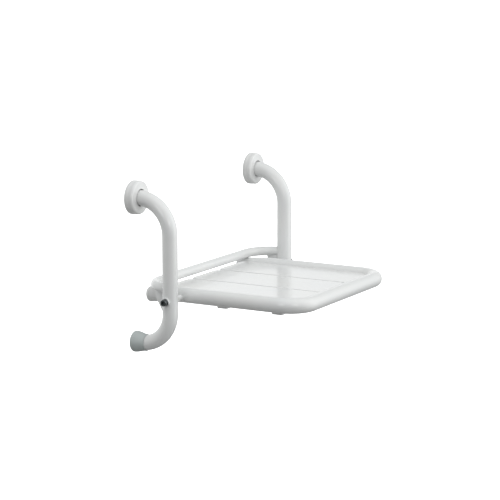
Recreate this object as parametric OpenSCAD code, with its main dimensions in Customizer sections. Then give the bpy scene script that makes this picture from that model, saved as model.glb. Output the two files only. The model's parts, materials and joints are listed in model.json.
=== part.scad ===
// Wall-mounted folding shower seat.
// X points out of the wall, Y runs along the wall, Z is up. The wall is the plane x = 0, and the
// origin lies in it, midway between the two upper wall plates. All sizes are in millimetres.

/* [Brackets] */
// Distance between the axes of the two upright tubes
upright_spacing = 484; // [470:2:520]
// Distance from the wall to the axes of the uprights
wall_reach = 87; // [86:1:92]
// Height between the upper stub and the lowest point of the tube's axis
frame_drop = 299.5; // [290:0.5:320]
// Outside diameter of the bracket and seat tubes
tube_d = 32; // [30:1:33]
// Wall thickness of the bracket and seat tubes
tube_wall = 2; // [1.5:0.5:3]
// Axis radius of the upper bend
top_bend_r = 73; // [70:1:76]
// Axis radius of the lower bend
low_bend_r = 67; // [64:1:70]
// Angle by which the lower bend goes on past square
low_bend_extra = 4; // [2:1:6]

/* [Wall fixings] */
// Diameter of the wall plates
plate_d = 62; // [58:1:64]
// Thickness of the wall plates
plate_t = 5; // [4:0.5:6]
// Pitch circle of the three wall screws
screw_pcd = 47; // [46:1:49]
// Diameter of the wall screw holes
screw_hole_d = 6.5; // [5:0.5:7]
// Outside diameter of the cover over each plate
cover_d = 70; // [68:1:72]
// Depth of the cover
cover_depth = 20; // [18:1:22]
// Diameter of the hole in the cover that the tube passes through
cover_hole_d = 35; // [35:0.5:36]
// Diameter of the buffer where it meets the wall
buffer_d = 44; // [42:1:48]
// Length of the buffer, from the wall to its mouth
buffer_length = 32; // [27:1:34]

/* [Tie bar] */
// Diameter of the bar that ties the uprights together
tie_bar_d = 20; // [18:1:21]
// Wall thickness of the tie bar
tie_bar_wall = 1.5; // [1:0.5:2.5]
// Distance from the wall to the bar's axis
tie_bar_x = 23.7; // [23:0.1:28]
// Axis radius of the bar's two bends
tie_bar_bend_r = 64; // [60:1:66]
// Thickness of the plates under the bar's ends
gusset_t = 5; // [4:1:6]

/* [Seat] */
// Height of the seat tube's axis below the upper stubs
seat_drop = 203.3; // [200:0.1:210]
// Sideways distance from each upright's axis to the seat rail beside it
rail_inset = 55; // [52:1:60]
// Distance from the wall to the front tube's axis
seat_reach = 355.5; // [345:0.5:380]
// Axis radius of the seat's two front corners
corner_r = 49; // [46:1:52]
// Distance from the wall to the rear tips of the rails
tail_gap = 1.5; // [1.5:0.5:5]
// Gap between neighbouring slats
slat_gap = 3; // [2:0.5:4]
// Gap between the outer slats and the rails
slat_side_gap = 0.6; // [0.5:0.1:1.5]
// Height of a slat
slat_height = 23; // [22:0.5:23]
// Distance from the wall to the slats' rear ends
slat_rear = 22; // [20:1:30]
// Gap between the slats' front ends and the front tube
slat_front_gap = 4.5; // [4:0.5:8]
// Radius of the slats' corners, seen from above
slat_corner_r = 15; // [8:1:18]
// Width of the two flat bars under the slats
cross_bar_w = 25; // [20:1:30]
// Thickness of the flat bars
cross_bar_t = 4; // [3:0.5:5]

/* [Pivots] */
// Height of the pivots below the seat tube's axis
pivot_drop = 3; // [2:0.1:4]
// Diameter of the pivot bolts' shank
bolt_d = 8; // [6:0.5:9]
// Diameter of the bolt heads
bolt_head_d = 13; // [12:0.5:15]
// Height of the bolt heads
bolt_head_h = 8; // [7:0.5:9]

/* [Hidden] */
$fn = 64;
eps = 0.5;

paint = "white";
moulding = "ghostwhite";
nylon = "gainsboro";
steel = "silver";
dark_chrome = "dimgray";

tube_r = tube_d / 2;
bore_r = tube_r - tube_wall;
upright_y = upright_spacing / 2;
rail_y = upright_y - rail_inset;
seat_z = -seat_drop;

// Tie bar: its underside is the stop that the rails' tails press up against.
tie_bar_r = tie_bar_d / 2;
stop_clearance = 0.36;
cap_dome_h = 9;

// The rails' tails slope down by 4.35 degrees behind a bend at the pivot. The sine and cosine of
// this angle are both short decimals, which keeps the faces on each side of the bend in one plane.
tail_sin = 0.07584;
tail_cos = 0.99712;
tail_slope = asin(tail_sin);
tail_bend_x = 84;
tail_bend_r = 150;
tail_root_x = tail_bend_x - tail_bend_r * tail_sin;
tail_root_z = seat_z - tail_bend_r * (1 - tail_cos);
tail_length = (tail_root_x - tail_gap - cap_dome_h) / tail_cos;
tail_z_at_bar = tail_root_z - (tail_root_x - tie_bar_x) * tail_sin / tail_cos;
tie_bar_z = tail_z_at_bar + (tube_r + tie_bar_r + stop_clearance) / tail_cos;
tie_bar_bend_x = tie_bar_x + tie_bar_bend_r;
tie_bar_bend_y = upright_y - tie_bar_bend_r;

// Pivot stack, as distances from the middle plane of the seat along Y.
pivot_x = wall_reach;
pivot_z = seat_z - pivot_drop;
bush_r = 6;
boss_r = 8;
running_gap = 0.05;
face_gap = 0.1;
upright_boss_end = upright_y - tube_r - 2.5;
thrust_washer_t = 2;
rail_boss_end = upright_boss_end - face_gap - thrust_washer_t - face_gap;
saddle_end = upright_y + tube_r + 3;
bolt_washer_t = 1.6;
head_seat = saddle_end + face_gap + bolt_washer_t;
thread_end = rail_y - 6;
bolt_tip = rail_y - 4;

// Slats and the bars under them.
slat_top_z = seat_z + 7;
slat_bottom_z = seat_z - tube_r;
slat_front = seat_reach - tube_r - slat_front_gap + 1;
slat_length = slat_front - slat_rear;
slat_field = 2 * (rail_y - tube_r - slat_side_gap);
slat_w = (slat_field - 2 * slat_gap) / 3;
slat_pitch = slat_w + slat_gap;
slat_shell = 3;
outer_corner_r = 27;
rear_bar_x = 175;
front_bar_x = 301.5;
slat_screw_offset = 34;
slat_screw_r = 2.1;

// Mirrors a part that is drawn on the left, at negative Y, to the right where side is 1.
module on_side(side) {
    if (side < 0) children();
    else mirror([0, 1, 0]) children();
}

// Cylinder along +Y from y0 to y1, through the pivot axis of the left side.
module pivot_rod(r, y0, y1) {
    translate([pivot_x, y0, pivot_z]) rotate([-90, 0, 0]) cylinder(h = y1 - y0, r = r);
}

// ---- Brackets ----

// Solid of radius r along the axis of the left bracket tube. over lengthens both ends.
module bracket_path(r, over = 0) {
    low_z = -(frame_drop - low_bend_r);
    translate([0, -upright_y, 0]) {
        translate([plate_t - over, 0, 0]) rotate([0, 90, 0])
            cylinder(h = wall_reach - top_bend_r - plate_t + over, r = r);
        translate([wall_reach - top_bend_r, 0, -top_bend_r]) rotate([90, 0, 0])
            rotate_extrude(angle = 90) translate([top_bend_r, 0]) circle(r = r);
        translate([wall_reach, 0, low_z]) cylinder(h = -top_bend_r - low_z, r = r);
        translate([wall_reach - low_bend_r, 0, low_z]) mirror([0, 0, 1]) rotate([90, 0, 0])
            rotate_extrude(angle = 90 + low_bend_extra + over)
                translate([low_bend_r, 0]) circle(r = r);
    }
}

module bracket_tube(side) {
    color(paint) on_side(side) difference() {
        bracket_path(tube_r);
        bracket_path(bore_r, over = 1);
        pivot_rod(bush_r, -upright_y - tube_d, -upright_y + tube_d);
    }
}

module wall_plate(side) {
    color(paint) on_side(side) translate([0, -upright_y, 0]) difference() {
        rotate([0, 90, 0]) cylinder(h = plate_t, d = plate_d);
        for (turn = [90, 210, 330]) {
            rotate([turn, 0, 0]) translate([-eps, screw_pcd / 2, 0]) rotate([0, 90, 0])
                cylinder(h = plate_t + 2 * eps, d = screw_hole_d);
        }
    }
}

// Half section of the cover: [distance from the wall, radius] around the outside, then back inside.
module cover_section() {
    outer_r = cover_d / 2;
    hole_r = cover_hole_d / 2;
    rim_r = 1.2;
    front_r = outer_r - 0.5;
    edge_r = 4.5;
    face_x = cover_depth - 0.6;
    skin = 2.4;
    rim = [for (a = [180:-15:90]) [rim_r + rim_r * cos(a), outer_r - rim_r + rim_r * sin(a)]];
    step = [[8, outer_r], [8.8, front_r]];
    edge = [for (a = [90:-15:0]) [
        face_x - edge_r + edge_r * cos(a), front_r - edge_r + edge_r * sin(a)
    ]];
    lip = [[face_x, hole_r + 3], [cover_depth, hole_r + 2.2], [cover_depth, hole_r + 0.8],
           [cover_depth - 0.8, hole_r]];
    inside = [[face_x - skin, hole_r], [face_x - skin, front_r - edge_r],
              [face_x - edge_r, outer_r - skin], [0, outer_r - skin]];
    polygon([for (p = concat(rim, step, edge, lip, inside)) [p[1], p[0]]]);
}

module wall_cover(side) {
    color(moulding) on_side(side) translate([0, -upright_y, 0]) rotate([0, 90, 0])
        rotate_extrude() cover_section();
}

// Flared cap that the lower end of each tube stands in. It bears on the wall.
module wall_buffer(side) {
    foot_r = buffer_d / 2;
    mouth_r = tube_r + 1.3;
    edge_r = 4;
    rim = [for (a = [-90:15:0]) [foot_r - edge_r + edge_r * cos(a), edge_r + edge_r * sin(a)]];
    flare = [for (t = [0.2:0.2:1]) [
        foot_r + (mouth_r - foot_r) * (1 - cos(180 * t)) / 2,
        edge_r + (buffer_length - edge_r) * t
    ]];
    color(moulding) on_side(side) difference() {
        translate([0, -upright_y, -frame_drop + 0.9]) rotate([0, 90, 0])
            rotate_extrude() polygon(concat([[0, 0]], rim, flare, [[0, buffer_length]]));
        bracket_path(tube_r + running_gap);
    }
}

// ---- Tie bar ----

module tie_bar_path(r) {
    translate([0, 0, tie_bar_z]) {
        translate([tie_bar_x, -tie_bar_bend_y, 0]) rotate([-90, 0, 0])
            cylinder(h = 2 * tie_bar_bend_y, r = r);
        for (side = [-1, 1]) {
            on_side(side) translate([tie_bar_bend_x, -tie_bar_bend_y, 0]) rotate([0, 0, 180])
                rotate_extrude(angle = 90) translate([tie_bar_bend_r, 0]) circle(r = r);
        }
    }
}

module tie_bar() {
    color(paint) difference() {
        tie_bar_path(tie_bar_r);
        tie_bar_path(tie_bar_r - tie_bar_wall);
        for (side = [-1, 1]) {
            on_side(side) bracket_path(tube_r);
        }
    }
}

// Plate with an S-shaped rear edge, welded under the end of the tie bar and behind the upright.
module gusset(side) {
    top_z = tie_bar_z - 5.5;
    foot_z = top_z - 64;
    rear_x = 47.5;
    front_x = wall_reach - tube_r + 0.5;
    mid_y = upright_y - 5.5;
    edge = [for (t = [0:0.1:1]) [
        rear_x + (front_x - rear_x) * (1 - cos(180 * t)) / 2,
        top_z + (foot_z - top_z) * t
    ]];
    color(paint) on_side(side) difference() {
        translate([0, -mid_y + gusset_t / 2, 0]) rotate([90, 0, 0]) linear_extrude(gusset_t)
            polygon(concat(edge, [[wall_reach, foot_z], [wall_reach, top_z]]));
        bracket_path(tube_r);
        tie_bar_path(tie_bar_r);
    }
}

// ---- Pivots, frame side ----

module upright_boss(side) {
    color(paint) on_side(side) difference() {
        pivot_rod(boss_r, -upright_y + 8, -upright_boss_end);
        bracket_path(tube_r);
        pivot_rod(bush_r, -upright_y, -upright_y + tube_r);
        pivot_rod(bolt_d / 2 + 0.3, -upright_y, -upright_boss_end + eps);
    }
}

module bearing_bush(side) {
    color(nylon) on_side(side) difference() {
        pivot_rod(bush_r, -upright_y - tube_r, -upright_y + tube_r);
        pivot_rod(bolt_d / 2 + running_gap, -upright_y - tube_d, -upright_y + tube_d);
    }
}

module bolt_saddle(side) {
    color(moulding) on_side(side) difference() {
        pivot_rod(boss_r, -saddle_end, -upright_y - 8);
        bracket_path(tube_r);
        pivot_rod(bush_r, -upright_y - tube_r, -upright_y);
        pivot_rod(bolt_d / 2 + 0.3, -saddle_end - eps, -upright_y);
    }
}

module thrust_washer(side) {
    outer_face = upright_boss_end - face_gap;
    color(nylon) on_side(side) difference() {
        pivot_rod(boss_r, -outer_face, -outer_face + thrust_washer_t);
        pivot_rod(bolt_d / 2 + 0.3, -outer_face - eps, -outer_face + thrust_washer_t + eps);
    }
}

// ---- Pivots, seat side ----

module pivot_bolt(side) {
    socket_af = 6;
    socket_depth = 4.5;
    chamfer = 1;
    head_r = bolt_head_d / 2;
    color(dark_chrome) on_side(side) translate([pivot_x, -head_seat, pivot_z])
        rotate([-90, 0, 0]) difference() {
            rotate_extrude() polygon([
                [0, -bolt_head_h], [head_r - chamfer, -bolt_head_h], [head_r, -bolt_head_h + chamfer],
                [head_r, 0], [bolt_d / 2, 0], [bolt_d / 2, head_seat - bolt_tip - 1],
                [bolt_d / 2 - 1, head_seat - bolt_tip], [0, head_seat - bolt_tip]
            ]);
            translate([0, 0, -bolt_head_h - eps])
                cylinder(h = socket_depth + eps, d = socket_af / cos(30), $fn = 6);
        }
}

module bolt_washer(side) {
    color(steel) on_side(side) difference() {
        pivot_rod(boss_r, -head_seat, -head_seat + bolt_washer_t);
        pivot_rod(bolt_d / 2, -head_seat - eps, -head_seat + bolt_washer_t + eps);
    }
}

// Threaded sleeve that carries the seat rail. Its inner end goes in through the rail's outer wall.
module rail_boss(side) {
    color(paint) on_side(side) difference() {
        pivot_rod(bush_r, -rail_boss_end, -thread_end + 3);
        pivot_rod(bolt_d / 2, -rail_boss_end - eps, -thread_end);
    }
}

// ---- Seat ----

// Sweeps the flat section given as its child along the axis of the seat's bent tube.
module hoop_sweep() {
    corner_x = seat_reach - corner_r;
    corner_y = rail_y - corner_r;
    for (side = [-1, 1]) {
        on_side(side) {
            translate([tail_root_x, -rail_y, tail_root_z]) rotate([0, -90 - tail_slope, 0])
                linear_extrude(tail_length) children();
            translate([tail_bend_x, -rail_y, seat_z - tail_bend_r]) intersection() {
                rotate([90, 0, 0]) rotate([0, 0, 90]) rotate_extrude(angle = 3 * tail_slope)
                    translate([tail_bend_r, 0]) children();
                rotate([0, -tail_slope, 0]) translate([0, -tube_d, 0])
                    cube([tube_d, 2 * tube_d, 2 * tail_bend_r]);
            }
            translate([tail_bend_x, -rail_y, seat_z]) rotate([0, 90, 0])
                linear_extrude(corner_x - tail_bend_x) children();
            translate([corner_x, -corner_y, seat_z]) rotate([0, 0, -90])
                rotate_extrude(angle = 90) translate([corner_r, 0]) children();
        }
    }
    translate([seat_reach, -corner_y, seat_z]) rotate([-90, 0, 0])
        linear_extrude(2 * corner_y) children();
}

module tube_section() {
    difference() {
        circle(r = tube_r);
        circle(r = bore_r);
    }
}

module seat_hoop() {
    color(paint) difference() {
        hoop_sweep() tube_section();
        for (side = [-1, 1]) {
            on_side(side) pivot_rod(bush_r + running_gap, -rail_y - tube_d, -rail_y);
        }
    }
}

// Domed plug in the rear end of each rail.
module rail_cap(side) {
    edge_r = 5;
    edge_z = cap_dome_h - edge_r - 0.5;
    plug_length = 12;
    edge = [for (a = [0:15:90]) [tube_r - edge_r + edge_r * cos(a), edge_z + edge_r * sin(a)]];
    color(moulding) on_side(side)
        translate([tail_root_x, -rail_y, tail_root_z]) rotate([0, -90 - tail_slope, 0])
            translate([0, 0, tail_length]) rotate_extrude()
                polygon(concat([[0, -plug_length], [bore_r, -plug_length], [bore_r, 0]],
                               [[tube_r, 0]], edge, [[0, cap_dome_h]]));
}

module cross_bar(bar_x) {
    half = rail_y;
    color(paint) difference() {
        translate([bar_x - cross_bar_w / 2, -half, slat_bottom_z - cross_bar_t])
            cube([cross_bar_w, 2 * half, cross_bar_t]);
        for (place = screw_places(bar_x)) {
            translate([bar_x, place, slat_bottom_z - cross_bar_t - eps])
                cylinder(h = cross_bar_t + 2 * eps, r = slat_screw_r);
        }
    }
}

function screw_places(bar_x) = [
    for (row = [-1, 0, 1], end = [-1, 1]) row * slat_pitch + end * slat_screw_offset
];

function arc(cx, cy, r, start) = [
    for (a = [start:15:start + 90]) [cx + r * cos(a), cy + r * sin(a)]
];

// Outline of a slat seen from above, with its own radius at each front corner.
function plank_outline(front_low_r, front_high_r, inset) = let(
    x0 = slat_rear + inset, x1 = slat_front - inset, w = slat_w / 2 - inset,
    rear_r = slat_corner_r - inset, low_r = front_low_r - inset, high_r = front_high_r - inset
) concat(
    arc(x1 - low_r, -w + low_r, low_r, -90), arc(x1 - high_r, w - high_r, high_r, 0),
    arc(x0 + rear_r, w - rear_r, rear_r, 90), arc(x0 + rear_r, -w + rear_r, rear_r, 180)
);

// Moulded slat: a tray with its open side down, two long ribs and a post over each screw.
module slat(row) {
    low_r = row < 0 ? outer_corner_r : slat_corner_r;
    high_r = row > 0 ? outer_corner_r : slat_corner_r;
    cavity_top = slat_top_z - slat_shell;
    color(moulding) translate([0, row * slat_pitch, 0]) difference() {
        union() {
            difference() {
                translate([0, 0, slat_bottom_z]) linear_extrude(slat_height)
                    polygon(plank_outline(low_r, high_r, 0));
                translate([0, 0, slat_bottom_z - eps]) linear_extrude(cavity_top - slat_bottom_z + eps)
                    polygon(plank_outline(low_r, high_r, slat_shell));
            }
            for (rib = [-1, 1]) {
                translate([slat_rear + 1, rib * slat_w / 6 - 1, slat_bottom_z])
                    cube([slat_length - 2, 2, cavity_top - slat_bottom_z + 1]);
            }
            for (bar_x = [rear_bar_x, front_bar_x], end = [-1, 1]) {
                translate([bar_x, end * slat_screw_offset, slat_bottom_z])
                    cylinder(h = cavity_top - slat_bottom_z + 1, r = 5);
            }
        }
        for (bar_x = [rear_bar_x, front_bar_x], end = [-1, 1]) {
            translate([bar_x, end * slat_screw_offset, slat_bottom_z - eps])
                cylinder(h = 14 + eps, r = slat_screw_r);
        }
    }
}

module slat_screws() {
    head_r = 4.5;
    head_h = 2.8;
    under = slat_bottom_z - cross_bar_t;
    color(steel) for (bar_x = [rear_bar_x, front_bar_x], place = screw_places(bar_x)) {
        translate([bar_x, place, under]) rotate_extrude() polygon([
            [0, -head_h], [head_r - 1.2, -head_h], [head_r, -head_h + 1.2], [head_r, 0],
            [slat_screw_r, 0], [slat_screw_r, 16], [0, 18]
        ]);
    }
}

bracket_tube(-1);  // bracket_tube_left
bracket_tube(1);  // bracket_tube_right
wall_plate(-1);  // wall_plate_left
wall_plate(1);  // wall_plate_right
wall_cover(-1);  // wall_cover_left
wall_cover(1);  // wall_cover_right
wall_buffer(-1);  // wall_buffer_left
wall_buffer(1);  // wall_buffer_right
tie_bar();
gusset(-1);  // gusset_left
gusset(1);  // gusset_right
upright_boss(-1);  // upright_boss_left
upright_boss(1);  // upright_boss_right
bearing_bush(-1);  // bearing_bush_left
bearing_bush(1);  // bearing_bush_right
bolt_saddle(-1);  // bolt_saddle_left
bolt_saddle(1);  // bolt_saddle_right
thrust_washer(-1);  // thrust_washer_left
thrust_washer(1);  // thrust_washer_right
seat_hoop();
rail_cap(-1);  // rail_cap_left
rail_cap(1);  // rail_cap_right
rail_boss(-1);  // rail_boss_left
rail_boss(1);  // rail_boss_right
pivot_bolt(-1);  // pivot_bolt_left
pivot_bolt(1);  // pivot_bolt_right
bolt_washer(-1);  // bolt_washer_left
bolt_washer(1);  // bolt_washer_right
cross_bar(front_bar_x);  // front_cross_bar
cross_bar(rear_bar_x);  // rear_cross_bar
slat(-1);  // slat_left
slat(0);  // slat_middle
slat(1);  // slat_right
slat_screws();
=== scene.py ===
# %% [markdown]
# # Wall-mounted folding shower seat
# A folding shower seat is a bent-tube hoop with three moulded slats, which pivots between two
# bent-tube wall brackets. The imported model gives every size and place, and this file gives the
# pieces their finished shapes and their finishes.
# Everything is in metres. X points out of the wall, Y runs along the wall and Z is up. The wall is
# the plane x = 0, and the left bracket is the one at negative Y.

# %% Load the frame
import json
import math

import bpy
from mathutils import Matrix, Vector


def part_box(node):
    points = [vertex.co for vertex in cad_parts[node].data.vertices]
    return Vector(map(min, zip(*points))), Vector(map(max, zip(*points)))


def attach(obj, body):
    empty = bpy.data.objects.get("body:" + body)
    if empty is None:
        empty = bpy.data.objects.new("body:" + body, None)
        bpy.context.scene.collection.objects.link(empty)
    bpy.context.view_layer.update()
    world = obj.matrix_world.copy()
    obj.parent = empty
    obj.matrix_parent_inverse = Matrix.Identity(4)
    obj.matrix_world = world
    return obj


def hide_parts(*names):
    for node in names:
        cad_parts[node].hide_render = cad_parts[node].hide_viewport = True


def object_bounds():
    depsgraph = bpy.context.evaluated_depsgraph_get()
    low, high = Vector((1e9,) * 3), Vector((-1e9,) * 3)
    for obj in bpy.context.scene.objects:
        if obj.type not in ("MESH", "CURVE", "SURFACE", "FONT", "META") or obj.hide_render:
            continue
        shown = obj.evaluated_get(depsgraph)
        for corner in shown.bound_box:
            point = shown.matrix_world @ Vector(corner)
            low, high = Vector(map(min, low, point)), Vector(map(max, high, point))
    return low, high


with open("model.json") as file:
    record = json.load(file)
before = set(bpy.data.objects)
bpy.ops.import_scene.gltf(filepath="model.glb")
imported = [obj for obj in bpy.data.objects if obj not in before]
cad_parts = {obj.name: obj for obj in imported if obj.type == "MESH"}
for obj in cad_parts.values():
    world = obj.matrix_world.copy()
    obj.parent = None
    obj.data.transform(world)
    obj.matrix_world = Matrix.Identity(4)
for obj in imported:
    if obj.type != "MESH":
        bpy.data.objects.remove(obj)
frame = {"nodes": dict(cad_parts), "record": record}
cad_box = [list(corner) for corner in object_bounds()]
scene = bpy.context.scene

# %% [markdown]
# ## Sizes
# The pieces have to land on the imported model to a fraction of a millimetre, so most lengths are
# read from the nodes' boxes. Bend radii can't be read from a box, so they are written here as named
# values, in metres.

# %% Read the sizes
MM = 0.001
lo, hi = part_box("bracket_tube_left")
tube_r = (hi.y - lo.y) / 2
upright_y = -(hi.y + lo.y) / 2
wall_reach = hi.x - tube_r
tube_start_x = lo.x
low_axis_z = lo.z + tube_r
tube_wall = 2 * MM
top_bend_r = 73 * MM
low_bend_r = 67 * MM
low_bend_extra = math.radians(4)

lo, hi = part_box("seat_hoop")
rail_y = hi.y - tube_r
seat_reach = hi.x - tube_r
seat_z = hi.z - tube_r
corner_r = 49 * MM
tail_fall = 0.07584      # how far the tail falls for each metre of its length
tail_slope = math.asin(tail_fall)
tail_bend_x = 84 * MM
tail_bend_r = 150 * MM
tail_root = Vector((tail_bend_x - tail_bend_r * math.sin(tail_slope), -rail_y,
                    seat_z - tail_bend_r * (1 - math.cos(tail_slope))))
tail_gap = 1.5 * MM
cap_dome = 9 * MM
tail_length = (tail_root.x - tail_gap - cap_dome) / math.cos(tail_slope)

lo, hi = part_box("tie_bar")
tie_bar_r = (hi.z - lo.z) / 2
tie_bar_z = (hi.z + lo.z) / 2
tie_bar_x = lo.x + tie_bar_r
tie_bend_r = 64 * MM

lo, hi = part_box("pivot_bolt_left")
pivot = Vector(((lo.x + hi.x) / 2, 0, (lo.z + hi.z) / 2))
head_r = (hi.z - lo.z) / 2
head_outer_y, bolt_tip_y = -lo.y, -hi.y
print("tube %.1f mm, uprights at +-%.0f mm, rails at +-%.0f mm, seat axis at %.1f mm" % (
    2000 * tube_r, 1000 * upright_y, 1000 * rail_y, 1000 * seat_z))

# %% [markdown]
# ## Camera
# The seat is seen from its front left, a little above, through a long lens. The camera is set by
# its place and by its heading, tilt and roll in degrees.

# %% Place the camera
cam_data = bpy.data.cameras.new("camera")
cam_data.sensor_width = 36
cam_data.lens = 149.36
cam_data.clip_start, cam_data.clip_end = 0.1, 200
camera = bpy.data.objects.new("camera", cam_data)
scene.collection.objects.link(camera)
camera.location = (2.2453, -3.7485, 0.6419)
heading, tilt, roll = math.radians(29.366), math.radians(10.244), math.radians(-0.059)
camera.rotation_euler = (Matrix.Rotation(heading, 3, "Z")
                         @ Matrix.Rotation(math.pi / 2 - tilt, 3, "X")
                         @ Matrix.Rotation(roll, 3, "Z")).to_euler()
scene.camera = camera
print("camera at", [round(v, 3) for v in camera.location])

# %% [markdown]
# ## Stage and light
# White goods are shot on a lit white sweep, so that the background burns out to plain white. The
# floor here is white and shows to the camera only. Most of the light comes from a dome whose walls,
# ceiling and floor each have a listed brightness, so that each side of a tube gets its own
# soft grey. Two soft boxes, one on each side of the camera, add a little light from in front.

# %% Build the stage
floor_drop = 0.7
floor_size = 160
floor_z = cad_box[0][2] - floor_drop
bpy.ops.object.select_all(action="DESELECT")
bpy.ops.mesh.primitive_plane_add(size=floor_size, location=(0, 0, floor_z))
floor = bpy.context.object
floor.name = "floor"
floor_mat = bpy.data.materials.new("floor_white")
floor_mat.use_nodes = True
shader = floor_mat.node_tree.nodes["Principled BSDF"]
shader.inputs["Base Color"].default_value = (0.9, 0.9, 0.9, 1)
shader.inputs["Roughness"].default_value = 0.9
shader.inputs["Emission Color"].default_value = (1, 1, 1, 1)
shader.inputs["Emission Strength"].default_value = 1.0
floor.data.materials.append(floor_mat)
floor.visible_diffuse = floor.visible_glossy = floor.visible_transmission = False
floor.visible_shadow = False

# %% Light the dome
# Each wall of the studio glows most along its own direction, and the power sets how fast the glow
# fades to the sides. Each row holds a heading and a height in degrees and a brightness,
# and one faint cool tint serves them all.
FADE_POWER = 4
ROOM_TINT = (0.985, 1.0, 1.0)
STUDIO_WALLS = [
    ("right wall", 30, 10, 2.1),
    ("left wall", 210, 0, 0.6),
    ("left corner", 165, 0, 0.75),
    ("backdrop", 120, 0, 0.95),
    ("ceiling", 0, 90, 1.0),
    ("over the camera", 300, 45, 0.85),
    ("floor", 0, -90, 0.4),
]
world = bpy.data.worlds.new("studio_dome")
scene.world = world
world.use_nodes = True
wt = world.node_tree
wt.nodes.clear()
w_dir = wt.nodes.new("ShaderNodeTexCoord")
total = None
for wall, heading_deg, height_deg, brightness in STUDIO_WALLS:
    az, el = math.radians(heading_deg), math.radians(height_deg)
    facing = wt.nodes.new("ShaderNodeVectorMath")
    facing.operation, facing.label = "DOT_PRODUCT", wall
    facing.inputs[1].default_value = (math.cos(el) * math.cos(az), math.cos(el) * math.sin(az),
                                      math.sin(el))
    wt.links.new(w_dir.outputs["Generated"], facing.inputs[0])
    ahead_only = wt.nodes.new("ShaderNodeMath")
    ahead_only.operation, ahead_only.inputs[1].default_value = "MAXIMUM", 0
    wt.links.new(facing.outputs["Value"], ahead_only.inputs[0])
    narrowed = wt.nodes.new("ShaderNodeMath")
    narrowed.operation, narrowed.inputs[1].default_value = "POWER", FADE_POWER
    wt.links.new(ahead_only.outputs[0], narrowed.inputs[0])
    glow = wt.nodes.new("ShaderNodeVectorMath")
    glow.operation, glow.inputs[0].default_value = "SCALE", [brightness * c for c in ROOM_TINT]
    wt.links.new(narrowed.outputs[0], glow.inputs["Scale"])
    if total is None:
        total = glow.outputs[0]
    else:
        both = wt.nodes.new("ShaderNodeVectorMath")
        both.operation = "ADD"
        wt.links.new(total, both.inputs[0])
        wt.links.new(glow.outputs[0], both.inputs[1])
        total = both.outputs[0]
w_bg = wt.nodes.new("ShaderNodeBackground")
w_out = wt.nodes.new("ShaderNodeOutputWorld")
wt.links.new(total, w_bg.inputs["Color"])
wt.links.new(w_bg.outputs[0], w_out.inputs["Surface"])


# %% Hang the soft boxes
def soft_box(name, place, target, width, power):
    """A square area light at place that faces target."""
    data = bpy.data.lights.new(name, "AREA")
    data.shape = "RECTANGLE"
    data.size = data.size_y = width
    data.energy = power
    lamp = bpy.data.objects.new(name, data)
    scene.collection.objects.link(lamp)
    lamp.location = place
    lamp.rotation_euler = (Vector(target) - Vector(place)).to_track_quat("-Z", "Y").to_euler()


seat_centre = (0.2, 0, -0.2)
box_width = 0.9
box_power = 9
soft_box("left_box", (0.1, -3.0, 0.9), seat_centre, box_width, box_power)
soft_box("right_box", (2.2, -1.9, 0.9), seat_centre, box_width, box_power)
scene.view_settings.view_transform = "Standard"

# %% [markdown]
# ## Finishes
# The tubes are steel with a baked powder coat, which flows into a gloss that is never quite flat and
# is a little uneven in colour. The slats, covers and caps are moulded white plastic with a finer,
# silkier skin, and the buffers are a softer, greyer plastic. One recipe serves them all: slow noise
# for unevenness of colour, a quicker one for unevenness of gloss, fine noise for the skin, and faint
# scuffs all over. All patterns sit in object space, in metres, so they have the same scale on every
# piece.

# %% Recipe for a finish
PATCH_SIZE = 0.09        # of the slow change of colour, in metres
MARK_SIZE = 0.012        # of the scuffs, in metres
MARK_SHADE = 0.86        # a scuff's brightness beside the clean colour
SKIN_STRENGTH = 0.35
COAT_ROUGHNESS = 0.06


def finish(name, colour, tint, rough, rough_swing, grain, grain_depth, metallic=0.0, coat=0.0,
           wave=45, scuff=0.0):
    """A painted, moulded or turned surface. grain is the size of its skin texture in metres, and
    wave is how many changes of gloss there are in a metre."""
    mat = bpy.data.materials.new(name)
    mat.use_nodes = True
    tree = mat.node_tree
    skin = tree.nodes["Principled BSDF"]
    skin.inputs["Metallic"].default_value = metallic
    skin.inputs["Coat Weight"].default_value = coat
    skin.inputs["Coat Roughness"].default_value = COAT_ROUGHNESS
    place = tree.nodes.new("ShaderNodeTexCoord")

    def noise(scale, detail):
        node = tree.nodes.new("ShaderNodeTexNoise")
        node.inputs["Scale"].default_value = scale
        node.inputs["Detail"].default_value = detail
        tree.links.new(place.outputs["Object"], node.inputs["Vector"])
        return node.outputs["Fac"]

    def stretch(value, low, high):
        node = tree.nodes.new("ShaderNodeMapRange")
        node.inputs["From Min"].default_value, node.inputs["From Max"].default_value = 0.3, 0.7
        node.inputs["To Min"].default_value, node.inputs["To Max"].default_value = low, high
        tree.links.new(value, node.inputs["Value"])
        return node.outputs["Result"]

    def blend_colour(factor, first, second):
        node = tree.nodes.new("ShaderNodeMix")
        node.data_type = "RGBA"
        for socket, colour_in in ((node.inputs[6], first), (node.inputs[7], second)):
            if isinstance(colour_in, tuple):
                socket.default_value = (*colour_in, 1)
            else:
                tree.links.new(colour_in, socket)
        tree.links.new(factor, node.inputs[0])
        return node.outputs[2]

    slow = noise(1 / PATCH_SIZE, 3)
    body_colour = blend_colour(stretch(slow, 0, 1), colour, tint)
    worn = tuple(MARK_SHADE * c for c in colour)
    marks = stretch(noise(1 / MARK_SIZE, 6), 0, scuff)
    tree.links.new(blend_colour(marks, body_colour, worn), skin.inputs["Base Color"])
    tree.links.new(stretch(noise(wave, 4), rough, rough + rough_swing), skin.inputs["Roughness"])
    bump = tree.nodes.new("ShaderNodeBump")
    bump.inputs["Strength"].default_value = SKIN_STRENGTH
    bump.inputs["Distance"].default_value = grain_depth
    tree.links.new(noise(1 / grain, 2), bump.inputs["Height"])
    tree.links.new(bump.outputs["Normal"], skin.inputs["Normal"])
    return mat


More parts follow.
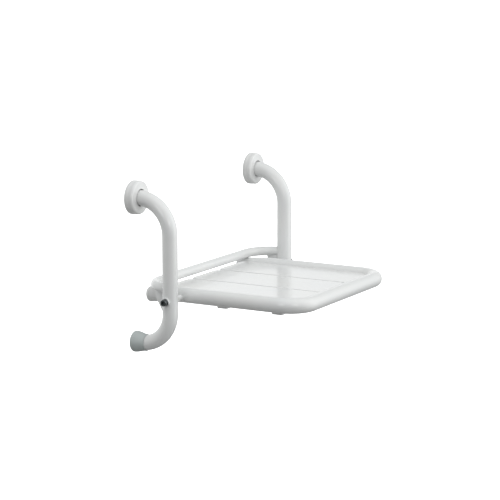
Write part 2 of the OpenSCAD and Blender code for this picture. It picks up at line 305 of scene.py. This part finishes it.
# %% Mix the finishes
FINISHES = {
    "painted_tube": finish("powder_coat_white", (0.80, 0.80, 0.79), (0.77, 0.78, 0.78), 0.20, 0.07,
                           0.0022, 0.00004, coat=0.5, scuff=0.10),
    "white_moulding": finish("glossy_white_plastic", (0.79, 0.79, 0.775), (0.77, 0.775, 0.78),
                             0.16, 0.06, 0.0009, 0.00002, coat=0.4, scuff=0.06),
    "buffer_moulding": finish("soft_grey_plastic", (0.50, 0.54, 0.535), (0.47, 0.51, 0.505), 0.34,
                              0.10, 0.0007, 0.00003, scuff=0.25),
    "nylon": finish("natural_nylon", (0.66, 0.65, 0.60), (0.62, 0.61, 0.57), 0.42, 0.08, 0.0008,
                    0.00003, scuff=0.15),
    "dark_chrome": finish("dark_chrome_plate", (0.14, 0.15, 0.155), (0.09, 0.10, 0.105), 0.14,
                          0.12, 0.0006, 0.00001, metallic=1.0, wave=300, scuff=0.6),
    "bare_steel": finish("zinc_plated_steel", (0.52, 0.53, 0.54), (0.44, 0.45, 0.46), 0.30, 0.14,
                         0.0005, 0.00001, metallic=1.0, wave=400, scuff=0.5),
}


def wear(obj, slot):
    """Gives every material slot of an object one finish."""
    if not obj.material_slots:
        obj.data.materials.append(FINISHES[slot])
    for held in obj.material_slots:
        held.material = FINISHES[slot]


NODE_SLOTS = {part["node"]: part["material_slot"] for part in frame["record"]["subparts"]}
for node, obj in frame["nodes"].items():
    wear(obj, NODE_SLOTS[node])
print("finishes", sorted(FINISHES))

# %% [markdown]
# ## Tools for shaping
# Tubes, turned parts and moulded slats are all shaped in edit mode. These small helpers choose
# points and faces by their place, the way a hand would click on them, and leave the shaping itself
# to Blender's own operators.

# %% Selecting and finishing helpers
def start_clean():
    """Leaves edit mode and deselects everything, so that an operator acts on one object."""
    if bpy.context.object and bpy.context.object.mode != "OBJECT":
        bpy.ops.object.mode_set(mode="OBJECT")
    bpy.ops.object.select_all(action="DESELECT")


def pick(kind, test):
    """Selects the vertices, edges or faces of the edited mesh whose middle passes the test."""
    obj = bpy.context.object
    bpy.ops.mesh.select_all(action="DESELECT")
    bpy.ops.mesh.select_mode(type=kind)
    bpy.ops.object.mode_set(mode="OBJECT")
    mesh = obj.data
    points = [v.co.copy() for v in mesh.vertices]
    items = {"VERT": mesh.vertices, "EDGE": mesh.edges, "FACE": mesh.polygons}[kind]
    for item in items:
        ids = [item.index] if kind == "VERT" else list(item.vertices)
        ends = [points[i] for i in ids]
        middle = sum(ends, Vector()) / len(ends)
        if test(middle, ends):
            item.select = True
    bpy.ops.object.mode_set(mode="EDIT")


def apply_modifiers(obj):
    start_clean()
    obj.select_set(True)
    bpy.context.view_layer.objects.active = obj
    for name in [m.name for m in obj.modifiers]:
        bpy.ops.object.modifier_apply(modifier=name)


def settle(obj, angle=35):
    """Puts the object's place into its mesh and shades its gentle angles smooth."""
    start_clean()
    obj.select_set(True)
    bpy.context.view_layer.objects.active = obj
    bpy.ops.object.transform_apply(location=True, rotation=True, scale=True)
    bpy.ops.object.shade_smooth_by_angle(angle=math.radians(angle))
    return obj


def close_up(obj, gap=1e-6):
    """Merges doubled points and turns every face outwards."""
    start_clean()
    obj.select_set(True)
    bpy.context.view_layer.objects.active = obj
    bpy.ops.object.mode_set(mode="EDIT")
    bpy.ops.mesh.select_all(action="SELECT")
    bpy.ops.mesh.remove_doubles(threshold=gap)
    bpy.ops.mesh.normals_make_consistent(inside=False)
    bpy.ops.object.mode_set(mode="OBJECT")
    return obj


def mirrored(obj, name):
    """A copy with its own mesh on the other side of the seat's middle plane."""
    start_clean()
    twin = obj.copy()
    twin.data = obj.data.copy()
    twin.name = twin.data.name = name
    scene.collection.objects.link(twin)
    twin.select_set(True)
    bpy.context.view_layer.objects.active = twin
    bpy.ops.object.mode_set(mode="EDIT")
    bpy.ops.mesh.select_all(action="SELECT")
    bpy.ops.transform.resize(value=(1, -1, 1), center_override=(0, 0, 0))
    bpy.ops.mesh.flip_normals()
    bpy.ops.object.mode_set(mode="OBJECT")
    return twin


def place_piece(obj, body, slot, *nodes):
    """Says which body the piece moves with, its finish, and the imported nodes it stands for."""
    wear(obj, slot)
    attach(obj, body)
    if nodes:
        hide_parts(*nodes)
    tris = sum(len(p.vertices) - 2 for p in obj.data.polygons)
    print("%-22s %6d triangles" % (obj.name, tris))


# %% [markdown]
# ## Bent tubes
# A tube bender pulls a straight tube round a former, and its programme is a list of straight
# lengths and bends. The model reads the same list: a ring of points is extruded along each straight
# and spun round each bend's centre. The wall is added last, so that the tube is hollow.

# %% Tube bender
def bent_tube(name, radius, wall, start, heading, moves, ring=64):
    """Sweeps a ring from start. A move is ("go", length) or ("bend", radius, towards, angle)."""
    start_clean()
    place, ahead = Vector(start), Vector(heading).normalized()
    turn = ahead.to_track_quat("Z", "Y").to_euler()
    bpy.ops.mesh.primitive_circle_add(vertices=ring, radius=radius, location=place, rotation=turn)
    tube = bpy.context.object
    tube.name = tube.data.name = name
    bpy.ops.object.transform_apply(location=True, rotation=True, scale=True)
    bpy.ops.object.mode_set(mode="EDIT")
    bpy.ops.mesh.select_mode(type="EDGE")
    bpy.ops.mesh.select_all(action="SELECT")
    for move in moves:
        if move[0] == "go":
            step = ahead * move[1]
            bpy.ops.mesh.extrude_edges_move(TRANSFORM_OT_translate={"value": step})
            place = place + step
        else:
            bend_r, towards, angle = move[1], Vector(move[2]).normalized(), move[3]
            centre = place + towards * bend_r
            axis = ahead.cross(towards).normalized()
            steps = max(2, round(angle / math.radians(3)))
            bpy.ops.mesh.spin(steps=steps, angle=-angle, center=centre, axis=axis)
            swing = Matrix.Rotation(angle, 3, axis)
            place = centre + swing @ (place - centre)
            ahead = swing @ ahead
    bpy.ops.object.mode_set(mode="OBJECT")
    close_up(tube)
    if wall:
        skin = tube.modifiers.new("wall", "SOLIDIFY")
        skin.thickness, skin.offset = wall, -1
        skin.use_even_offset = True
        apply_modifiers(tube)
    return settle(tube)


def measured(obj):
    """The object's lowest and highest corner in millimetres, for printing."""
    xyz = [v.co for v in obj.data.vertices]
    return ([round(1000 * min(c[i] for c in xyz), 1) for i in range(3)],
            [round(1000 * max(c[i] for c in xyz), 1) for i in range(3)])


# %% [markdown]
# ## Wall brackets
# Each bracket is one tube: a short stub out of the wall, a wide bend down into the upright, and a
# tighter bend back to the wall, which goes 4 degrees past square so that the end rises a little
# into its buffer. The right bracket is the left one in a mirror.

# %% Bend the brackets
top_bend = ("bend", top_bend_r, (0, 0, -1), math.pi / 2)
low_bend = ("bend", low_bend_r, (-1, 0, 0), math.pi / 2 + low_bend_extra)
upright_length = -(low_axis_z + low_bend_r) - top_bend_r
bracket_left = bent_tube(
    "bracket_left", tube_r, tube_wall, (tube_start_x, -upright_y, 0), (1, 0, 0),
    [("go", wall_reach - top_bend_r - tube_start_x), top_bend, ("go", upright_length), low_bend])
print(measured(bracket_left))
place_piece(bracket_left, "frame", "painted_tube", "bracket_tube_left")
place_piece(mirrored(bracket_left, "bracket_right"), "frame", "painted_tube",
            "bracket_tube_right")

# %% [markdown]
# ## Seat hoop
# The seat's rim is one tube bent into a U, with its two legs running back past the pivots. Behind
# the pivots the legs dip by a few degrees, and their tips lie under the tie bar, which is what stops
# the seat from dropping below level.

# %% Bend the hoop
dip = Vector((math.cos(tail_slope), 0, math.sin(tail_slope)))
rise_bend = ("bend", tail_bend_r, (math.sin(tail_slope), 0, -math.cos(tail_slope)), tail_slope)
dip_bend = ("bend", tail_bend_r, (0, 0, -1), tail_slope)
rail_run = seat_reach - corner_r - tail_bend_x
seat_hoop = bent_tube(
    "seat_rim", tube_r, tube_wall, tail_root - dip * tail_length, dip,
    [("go", tail_length), rise_bend, ("go", rail_run), ("bend", corner_r, (0, 1, 0), math.pi / 2),
     ("go", 2 * (rail_y - corner_r)), ("bend", corner_r, (-1, 0, 0), math.pi / 2),
     ("go", rail_run), dip_bend, ("go", tail_length)])
print(measured(seat_hoop))
place_piece(seat_hoop, "seat", "painted_tube", "seat_hoop")

# %% [markdown]
# ## Tie bar
# A thinner bar ties the brackets together behind the seat. Its two bends begin at the uprights
# themselves, so each end meets its upright on a curve. The ends are cut off flat just inside the
# upright's bore, out of sight.

# %% Bend and cut the tie bar
tie_bar_cut_x = wall_reach - 11 * MM
tie_bar = bent_tube(
    "tie_rod", tie_bar_r, 0, (tie_bar_x + tie_bend_r, -upright_y, tie_bar_z), (-1, 0, 0),
    [("bend", tie_bend_r, (0, 1, 0), math.pi / 2), ("go", 2 * (upright_y - tie_bend_r)),
     ("bend", tie_bend_r, (1, 0, 0), math.pi / 2)], ring=48)
start_clean()
tie_bar.select_set(True)
bpy.context.view_layer.objects.active = tie_bar
bpy.ops.object.mode_set(mode="EDIT")
bpy.ops.mesh.select_all(action="SELECT")
bpy.ops.mesh.bisect(plane_co=(tie_bar_cut_x, 0, 0), plane_no=(1, 0, 0),
                    use_fill=True, clear_outer=True)
bpy.ops.object.mode_set(mode="OBJECT")
settle(close_up(tie_bar))
print(measured(tie_bar))
place_piece(tie_bar, "frame", "painted_tube", "tie_bar")

# %% [markdown]
# ## Turned and moulded round pieces
# Covers, buffers, caps, bolts and screws are all bodies of revolution, so one tool makes them: a
# single point is extruded along the piece's half section and the section is spun round its axis, as
# on a lathe. The section is given as pairs of radius and height, and the axis is turned to its place
# at the end.

# %% Lathe
def chain(name, points):
    """A mesh object whose edges join the given points in turn, made from one merged vertex."""
    start_clean()
    bpy.ops.mesh.primitive_plane_add(size=1)
    obj = bpy.context.object
    obj.name = obj.data.name = name
    bpy.ops.object.mode_set(mode="EDIT")
    bpy.ops.mesh.select_mode(type="VERT")
    bpy.ops.mesh.select_all(action="SELECT")
    bpy.ops.mesh.merge(type="CENTER")
    bpy.ops.transform.translate(value=points[0])
    for before, after in zip(points, points[1:]):
        step = Vector(after) - Vector(before)
        bpy.ops.mesh.extrude_vertices_move(TRANSFORM_OT_translate={"value": step})
    bpy.ops.object.mode_set(mode="OBJECT")
    return obj


def turned(name, section, base=(0, 0, 0), axis=(0, 0, 1), ring=64, angle=35):
    """Spins a half section of (radius, height) pairs round an axis that starts at base."""
    obj = chain(name, [(radius, 0, height) for radius, height in section])
    bpy.ops.object.mode_set(mode="EDIT")
    bpy.ops.mesh.select_all(action="SELECT")
    bpy.ops.mesh.spin(steps=ring, angle=2 * math.pi, center=(0, 0, 0), axis=(0, 0, 1))
    bpy.ops.object.mode_set(mode="OBJECT")
    close_up(obj)
    obj.rotation_euler = Vector(axis).to_track_quat("Z", "Y").to_euler()
    obj.location = base
    return settle(obj, angle)


def fillet(centre_r, centre_h, radius, start, end, steps=6):
    """Points on an arc of the half section, from one angle to another, in degrees."""
    angles = [math.radians(start + (end - start) * k / steps) for k in range(steps + 1)]
    return [(centre_r + radius * math.cos(a), centre_h + radius * math.sin(a)) for a in angles]


# %% [markdown]
# ## Wall covers
# A cover is a shallow moulded cup that hides the wall plate and its screws. It has a fine step
# round its band, a rounded shoulder, a flat face and a raised lip round the hole, which is
# wide enough for the cover to slide out along the tube.

# %% Turn the covers
lo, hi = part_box("wall_cover_left")
cover_r, cover_depth = (hi.z - lo.z) / 2, hi.x
hole_r = 17.5 * MM
front_r, shoulder_r, face_x = cover_r - 0.5 * MM, 4.5 * MM, cover_depth - 0.6 * MM
skin_t = 2.4 * MM
rim_round, lip_round = 1.2 * MM, 1.0 * MM
cover_section = (
    fillet(cover_r - rim_round, rim_round, rim_round, -90, 0)
    + [(cover_r, 7.8 * MM), (cover_r - 0.1 * MM, 8.1 * MM), (front_r, 8.5 * MM),
       (front_r, 8.9 * MM)]
    + fillet(front_r - shoulder_r, face_x - shoulder_r, shoulder_r, 0, 90, 10)
    + [(hole_r + 3.4 * MM, face_x), (hole_r + 2.8 * MM, face_x + 0.15 * MM)]
    + fillet(hole_r + 1.2 * MM, cover_depth - lip_round, lip_round, 60, 180)
    + [(hole_r, face_x - skin_t), (front_r - shoulder_r, face_x - skin_t),
       (cover_r - skin_t, face_x - shoulder_r), (cover_r - skin_t, 0)])
cover_section.append(cover_section[0])
cover_left = turned("cover_shell_left", cover_section, (0, -upright_y, 0), (1, 0, 0), ring=96)
print("cover", measured(cover_left))
place_piece(cover_left, "cover_left", "white_moulding", "wall_cover_left")
place_piece(mirrored(cover_left, "cover_shell_right"), "cover_right", "white_moulding",
            "wall_cover_right")

# %% [markdown]
# ## Buffers
# The lower end of each bracket stands in a flared cap of softer plastic that bears on the wall. Its
# foot is flat, its edge is well rounded, and it draws in along an S-curve to a thin lip round the
# tube.

# %% Turn the buffers
lo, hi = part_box("wall_buffer_left")
foot_r, buffer_length = (hi.z - lo.z) / 2, hi.x
buffer_z = (hi.z + lo.z) / 2
mouth_r, pocket_r, pocket_floor = tube_r + 1.5 * MM, tube_r + 0.8 * MM, 12 * MM
edge_r = 4 * MM
flare_steps = 14
flare = [(foot_r + (mouth_r - foot_r) * (1 - math.cos(math.pi * t / flare_steps)) / 2,
          edge_r + (buffer_length - 0.5 * MM - edge_r) * t / flare_steps)
         for t in range(1, flare_steps + 1)]
buffer_section = (
    [(0, 0)] + fillet(foot_r - edge_r, edge_r, edge_r, -90, 0, 8) + flare
    + [(mouth_r - 0.35 * MM, buffer_length), (pocket_r, buffer_length - 0.2 * MM),
       (pocket_r, pocket_floor), (0, pocket_floor)])
buffer_left = turned("buffer_cap_left", buffer_section, (0, -upright_y, buffer_z), (1, 0, 0),
                     ring=80)
print("buffer", measured(buffer_left))
place_piece(buffer_left, "frame", "buffer_moulding", "wall_buffer_left")
place_piece(mirrored(buffer_left, "buffer_cap_right"), "frame", "buffer_moulding",
            "wall_buffer_right")

# %% [markdown]
# ## Rail caps
# A domed plug closes each rear end of the seat's tube. Its rim is as wide as the tube and its skirt
# is a push fit inside, so all that shows of the joint is a fine groove.

# %% Turn the rail caps
cap_edge = 5 * MM
skirt_r = tube_r - tube_wall - 0.05 * MM
skirt_length = 12 * MM
cap_section = (
    [(0, -skirt_length), (skirt_r - 0.95 * MM, -skirt_length), (skirt_r, 1 * MM - skirt_length),
     (skirt_r, 0.05 * MM), (tube_r - 0.5 * MM, 0.05 * MM), (tube_r, 0.55 * MM)]
    + fillet(tube_r - cap_edge, cap_dome - 0.6 * MM - cap_edge, cap_edge, 0, 80, 8)
    + [(tube_r - 8 * MM, cap_dome - 0.25 * MM), (0, cap_dome)])
cap_left = turned("end_cap_left", cap_section, tail_root - dip * tail_length, -dip)
print("rail cap", measured(cap_left))
place_piece(cap_left, "seat", "white_moulding", "rail_cap_left")
place_piece(mirrored(cap_left, "end_cap_right"), "seat", "white_moulding", "rail_cap_right")

# %% [markdown]
# ## Pivot bolts
# The seat turns on two socket screws. A head is a turned drum with a rounded edge, and its six
# sided socket is pressed in with a punch, so it is cut here with a six sided prism by a Boolean.

# %% Turn the bolts and punch their sockets
head_h = 8 * MM
shank_r = 4 * MM
shank_end = head_outer_y - bolt_tip_y
socket_half_width, socket_depth = 3 * MM, 4.5 * MM
socket_turn = 0.3        # in radians, as the screw happened to stop
bolt_section = (
    [(0, 0), (head_r - 1.6 * MM, 0)] + fillet(head_r - 0.9 * MM, 0.9 * MM, 0.9 * MM, -70, 0, 4)
    + [(head_r, head_h - 0.3 * MM), (head_r - 0.3 * MM, head_h), (shank_r, head_h),
       (shank_r, shank_end - 1 * MM), (shank_r - 1 * MM, shank_end), (0, shank_end)])
bolt_base = (pivot.x, -head_outer_y, pivot.z)
bolt_left = turned("pivot_screw_left", bolt_section, bolt_base, (0, 1, 0), ring=72, angle=30)
start_clean()
bpy.ops.mesh.primitive_cylinder_add(
    vertices=6, radius=socket_half_width / math.cos(math.pi / 6), depth=2 * socket_depth,
    location=bolt_base, rotation=(math.pi / 2, socket_turn, 0))
punch = bpy.context.object
bpy.ops.object.mode_set(mode="EDIT")
bpy.ops.mesh.select_all(action="SELECT")
bpy.ops.mesh.bevel(offset=0.25 * MM, segments=1)
bpy.ops.object.mode_set(mode="OBJECT")
cut = bolt_left.modifiers.new("socket", "BOOLEAN")
cut.operation, cut.object, cut.solver = "DIFFERENCE", punch, "EXACT"
apply_modifiers(bolt_left)
bpy.data.objects.remove(punch)
settle(bolt_left, 30)
print("bolt", measured(bolt_left))
place_piece(bolt_left, "seat", "dark_chrome", "pivot_bolt_left")
place_piece(mirrored(bolt_left, "pivot_screw_right"), "seat", "dark_chrome", "pivot_bolt_right")

# %% [markdown]
# ## Gussets and cross bars
# These are cut from flat plate. An outline is drawn as a chain of points and filled, the face is
# extruded to the plate's thickness, and its edges are broken with a small bevel, as a grinder would.

# %% Plate cutter
def plate(name, outline, thickness, edge_break):
    """A flat plate: a closed outline, extruded along thickness, with its edges bevelled."""
    obj = chain(name, outline + [outline[0]])
    close_up(obj)
    bpy.ops.object.mode_set(mode="EDIT")
    bpy.ops.mesh.select_all(action="SELECT")
    bpy.ops.mesh.edge_face_add()
    bpy.ops.mesh.extrude_region_move(TRANSFORM_OT_translate={"value": thickness})
    bpy.ops.object.mode_set(mode="OBJECT")
    close_up(obj)
    break_edges = obj.modifiers.new("edges", "BEVEL")
    break_edges.width, break_edges.segments = edge_break, 2
    break_edges.limit_method, break_edges.angle_limit = "ANGLE", math.radians(50)
    apply_modifiers(obj)
    return settle(obj, 40)


# %% Cut the gussets
lo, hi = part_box("gusset_left")
gusset_front = wall_reach - 12 * MM
gusset_top, gusset_height = tie_bar_z - 5.5 * MM, 64 * MM
curve_run = wall_reach - tube_r + 0.5 * MM - lo.x
curve_steps = 14
gusset_outline = [
    (lo.x + curve_run * (1 - math.cos(math.pi * k / curve_steps)) / 2, lo.y,
     gusset_top - gusset_height * k / curve_steps) for k in range(curve_steps + 1)]
gusset_outline += [(gusset_front, lo.y, gusset_outline[-1][2]),
                   (gusset_front, lo.y, gusset_outline[0][2])]
gusset_left = plate("stop_plate_left", gusset_outline, (0, hi.y - lo.y, 0), 0.6 * MM)
print("gusset", measured(gusset_left))
place_piece(gusset_left, "frame", "painted_tube", "gusset_left")
place_piece(mirrored(gusset_left, "stop_plate_right"), "frame", "painted_tube", "gusset_right")


# %% Cut the cross bars
def rounded_outline(x0, x1, y0, y1, z, radii, steps=8):
    """A rectangle with its own radius at (x1, y0), (x1, y1), (x0, y1) and (x0, y0)."""
    corners = ((x1, y0, -90), (x1, y1, 0), (x0, y1, 90), (x0, y0, 180))
    points = []
    for (x, y, start), r in zip(corners, radii):
        cx = x - r if x == x1 else x + r
        cy = y - r if y == y1 else y + r
        for k in range(steps + 1):
            a = math.radians(start + 90 * k / steps)
            points.append((cx + r * math.cos(a), cy + r * math.sin(a), z))
    return points


for node in ("front_cross_bar", "rear_cross_bar"):
    lo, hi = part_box(node)
    outline = rounded_outline(lo.x, hi.x, lo.y, hi.y, lo.z, [5 * MM] * 4)
    bar = plate(node.replace("cross_bar", "slat_bearer"), outline, (0, 0, hi.z - lo.z), 0.6 * MM)
    print(bar.name, measured(bar))
    place_piece(bar, "seat", "painted_tube", node)

# %% [markdown]
# ## Slats
# A slat is an injection moulded tray, open underneath, with a rounded top edge all the way round,
# two long ribs and a post over each screw. The outer slats have one larger corner each, to follow
# the bend of the rim. The outline is extruded, the top edge bevelled, the bottom face removed, and
# the wall added, so that it is even everywhere. Ribs and posts are joined on at the end.

# %% Mould the slats
slat_wall = 3 * MM
top_round = 2.6 * MM
small_r, large_r = 15 * MM, 27 * MM
screw_offset = 34 * MM
post_r, post_bore_r, post_bore_depth = 5 * MM, 2.1 * MM, 14 * MM
overlap = 0.4 * MM
lift = 0.1 * MM


def slat_top(middle, ends):
    """True for an edge that lies in the slat's top."""
    return all(abs(end.z - slat_top_z) < 1e-5 for end in ends)


def slat_underside(middle, ends):
    return all(abs(end.z - slat_bottom_z) < 1e-5 for end in ends)


for node, corner_radii in (("slat_left", (large_r, small_r)), ("slat_middle", (small_r, small_r)),
                           ("slat_right", (small_r, large_r))):
    lo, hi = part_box(node)
    slat_bottom_z, slat_top_z = lo.z, hi.z
    outline = rounded_outline(lo.x, hi.x, lo.y, hi.y, lo.z, [*corner_radii, small_r, small_r])
    slat = chain(node.replace("slat", "plank"), outline + [outline[0]])
    close_up(slat)
    bpy.ops.object.mode_set(mode="EDIT")
    bpy.ops.mesh.select_all(action="SELECT")
    bpy.ops.mesh.edge_face_add()
    bpy.ops.mesh.extrude_region_move(TRANSFORM_OT_translate={"value": (0, 0, hi.z - lo.z)})
    bpy.ops.object.mode_set(mode="OBJECT")
    close_up(slat)
    bpy.ops.object.mode_set(mode="EDIT")
    pick("EDGE", slat_top)
    bpy.ops.mesh.bevel(offset=top_round, segments=5, profile=0.5)
    pick("FACE", lambda middle, ends: slat_top(middle, ends) and len(ends) > 8)
    bpy.ops.mesh.inset(thickness=0.6 * MM, depth=0)
    pick("FACE", slat_underside)
    bpy.ops.mesh.delete(type="FACE")
    bpy.ops.object.mode_set(mode="OBJECT")
    shell = slat.modifiers.new("wall", "SOLIDIFY")
    shell.thickness, shell.offset, shell.use_even_offset = slat_wall, -1, True
    apply_modifiers(slat)
    parts = [slat]
    middle_y, width = (lo.y + hi.y) / 2, hi.y - lo.y
    for side in (-1, 1):
        start_clean()
        rib_height = hi.z - lo.z - slat_wall + overlap
        bpy.ops.mesh.primitive_cube_add(
            size=1, location=((lo.x + hi.x) / 2, middle_y + side * width / 6,
                              lo.z + rib_height / 2 + lift),
            scale=(hi.x - lo.x - 2 * slat_wall + 0.6 * MM, 2 * MM, rib_height))
        rib = bpy.context.object
        bpy.ops.object.transform_apply(location=True, rotation=True, scale=True)
        bpy.ops.object.mode_set(mode="EDIT")
        bpy.ops.mesh.select_all(action="SELECT")
        bpy.ops.mesh.bevel(offset=0.4 * MM, segments=2)
        bpy.ops.object.mode_set(mode="OBJECT")
        parts.append(rib)
    for bearer in ("rear_cross_bar", "front_cross_bar"):
        bar_lo, bar_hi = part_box(bearer)
        for side in (-1, 1):
            post_h = hi.z - lo.z - slat_wall + overlap
            post_section = [(0, post_bore_depth), (post_bore_r, post_bore_depth),
                            (post_bore_r, lift), (post_r - 0.4 * MM, lift),
                            (post_r, lift + 0.4 * MM), (post_r, post_h), (0, post_h)]
            post_base = ((bar_lo.x + bar_hi.x) / 2, middle_y + side * screw_offset, lo.z)
            parts.append(turned("post", post_section, post_base, ring=24))
    start_clean()
    for part in parts:
        part.select_set(True)
    bpy.context.view_layer.objects.active = slat
    bpy.ops.object.join()
    settle(slat, 30)
    print(slat.name, measured(slat))
    place_piece(slat, "seat", "white_moulding", node)

# %% [markdown]
# ## Slat screws
# Twelve pan head screws come up through the bearers into the slats. One is turned, its cross recess
# is cut with two crossed blades, and the rest are copies.

# %% Turn one slat screw and copy it
lo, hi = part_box("slat_screws")
pan_r, pan_h, screw_r = 4.5 * MM, 2.8 * MM, 2.1 * MM
screw_section = (
    [(0, 0), (pan_r - 2.2 * MM, 0)] + fillet(pan_r - 1.4 * MM, 1.4 * MM, 1.4 * MM, -75, 0, 5)
    + [(pan_r, pan_h), (screw_r - 0.1 * MM, pan_h), (screw_r - 0.1 * MM, hi.z - lo.z - 2 * MM),
       (0, hi.z - lo.z)])
first_screw = turned("slat_fixings", screw_section, (0, 0, lo.z), ring=24)
start_clean()
bpy.ops.mesh.primitive_cube_add(size=1, location=(0, 0, lo.z), scale=(4 * MM, 0.9 * MM, 2.4 * MM))
blades = bpy.context.object
bpy.ops.object.transform_apply(location=True, rotation=True, scale=True)
bpy.ops.object.mode_set(mode="EDIT")
pick("FACE", lambda middle, ends: middle.z > lo.z + 1 * MM)
bpy.ops.transform.resize(value=(0.6, 0.8, 1))
bpy.ops.object.mode_set(mode="OBJECT")
cut = first_screw.modifiers.new("slot", "BOOLEAN")
cut.operation, cut.object, cut.solver = "DIFFERENCE", blades, "EXACT"
apply_modifiers(first_screw)
blades.rotation_euler = (0, 0, math.pi / 2)
cut = first_screw.modifiers.new("cross", "BOOLEAN")
cut.operation, cut.object, cut.solver = "DIFFERENCE", blades, "EXACT"
apply_modifiers(first_screw)
bpy.data.objects.remove(blades)

bar_x = [sum(corner.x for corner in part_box(node)) / 2
         for node in ("rear_cross_bar", "front_cross_bar")]
slat_y = [sum(corner.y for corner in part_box(node)) / 2
          for node in ("slat_left", "slat_middle", "slat_right")]
places = [(x, y + side * screw_offset) for x in bar_x for y in slat_y for side in (-1, 1)]
screws = []
for x, y in places:
    screw = first_screw.copy()
    screw.data = first_screw.data.copy()
    scene.collection.objects.link(screw)
    screw.location = (x, y, 0)
    screws.append(screw)
bpy.data.objects.remove(first_screw)
start_clean()
for screw in screws:
    screw.select_set(True)
bpy.context.view_layer.objects.active = screws[0]
bpy.ops.object.join()
slat_fixings = settle(screws[0])
slat_fixings.name = slat_fixings.data.name = "slat_fixings"
print("screws", len(places), measured(slat_fixings))
place_piece(slat_fixings, "seat", "bare_steel", "slat_screws")

# %% [markdown]
# ## Weld beads
# Tie bar and bosses are welded to the tubes, and the powder coat softens each bead to a low fillet.
# A bead round a rod that meets a tube runs on a saddle: it is made as a flat ring and each slice of
# the ring is then pushed along the rod until it lies on the tube's surface. The sleeve in the rail
# lies 3 mm below the rail's axis, but its bead is shaped as if it lay on the axis, so that bead is
# up to about 1.5 mm off the rail.

# %% Saddle bead
def bead(name, centre, rod_axis, rod_r, pipe_axis, pipe_r, size, slices=48):
    """A weld round a rod of radius rod_r at centre, on the near side of a pipe of radius pipe_r.
    rod_axis points from the pipe's axis towards the rod, and centre lies on the pipe's axis."""
    start_clean()
    bpy.ops.mesh.primitive_torus_add(major_segments=slices, minor_segments=10,
                                     major_radius=rod_r, minor_radius=size)
    ring = bpy.context.object
    ring.name = ring.data.name = name
    bpy.ops.object.mode_set(mode="EDIT")
    for k in range(slices):
        angle = 2 * math.pi * k / slices
        across = rod_r * math.sin(angle)
        rise = math.sqrt(pipe_r ** 2 - across ** 2)
        ray = Vector((math.cos(angle), math.sin(angle), 0))
        pick("VERT", lambda middle, ends: middle.z < pipe_r / 2
             and (Vector((middle.x, middle.y, 0)).normalized() - ray).length < 1e-3)
        ripple = 0.06 * size * math.sin(9 * angle)
        bpy.ops.transform.translate(value=(0, 0, rise + ripple))
    bpy.ops.object.mode_set(mode="OBJECT")
    out = Vector(rod_axis).normalized()
    along = Vector(pipe_axis).normalized()
    turn = Matrix((along, out.cross(along), out)).transposed()
    ring.rotation_euler = turn.to_euler()
    ring.location = centre
    return settle(close_up(ring), 60)


# %% Lay the beads
boss_r, sleeve_r = 8 * MM, 6 * MM
BEADS = (
    ("bead_tie_bar", "frame", (wall_reach, -upright_y, tie_bar_z), (-1, 0, 0), tie_bar_r, (0, 0, 1),
     1.3 * MM),
    ("bead_upright_boss", "frame", (pivot.x, -upright_y, pivot.z), (0, 1, 0), boss_r, (0, 0, 1),
     1.0 * MM),
    ("bead_rail_boss", "seat", (pivot.x, -rail_y, pivot.z), (0, -1, 0), sleeve_r, (1, 0, 0),
     1.0 * MM),
)
for name, body, centre, rod_axis, rod_r, pipe_axis, size in BEADS:
    ring = bead(name + "_left", centre, rod_axis, rod_r, pipe_axis, tube_r, size)
    print(ring.name, measured(ring))
    place_piece(ring, body, "painted_tube")
    place_piece(mirrored(ring, name + "_right"), body, "painted_tube")
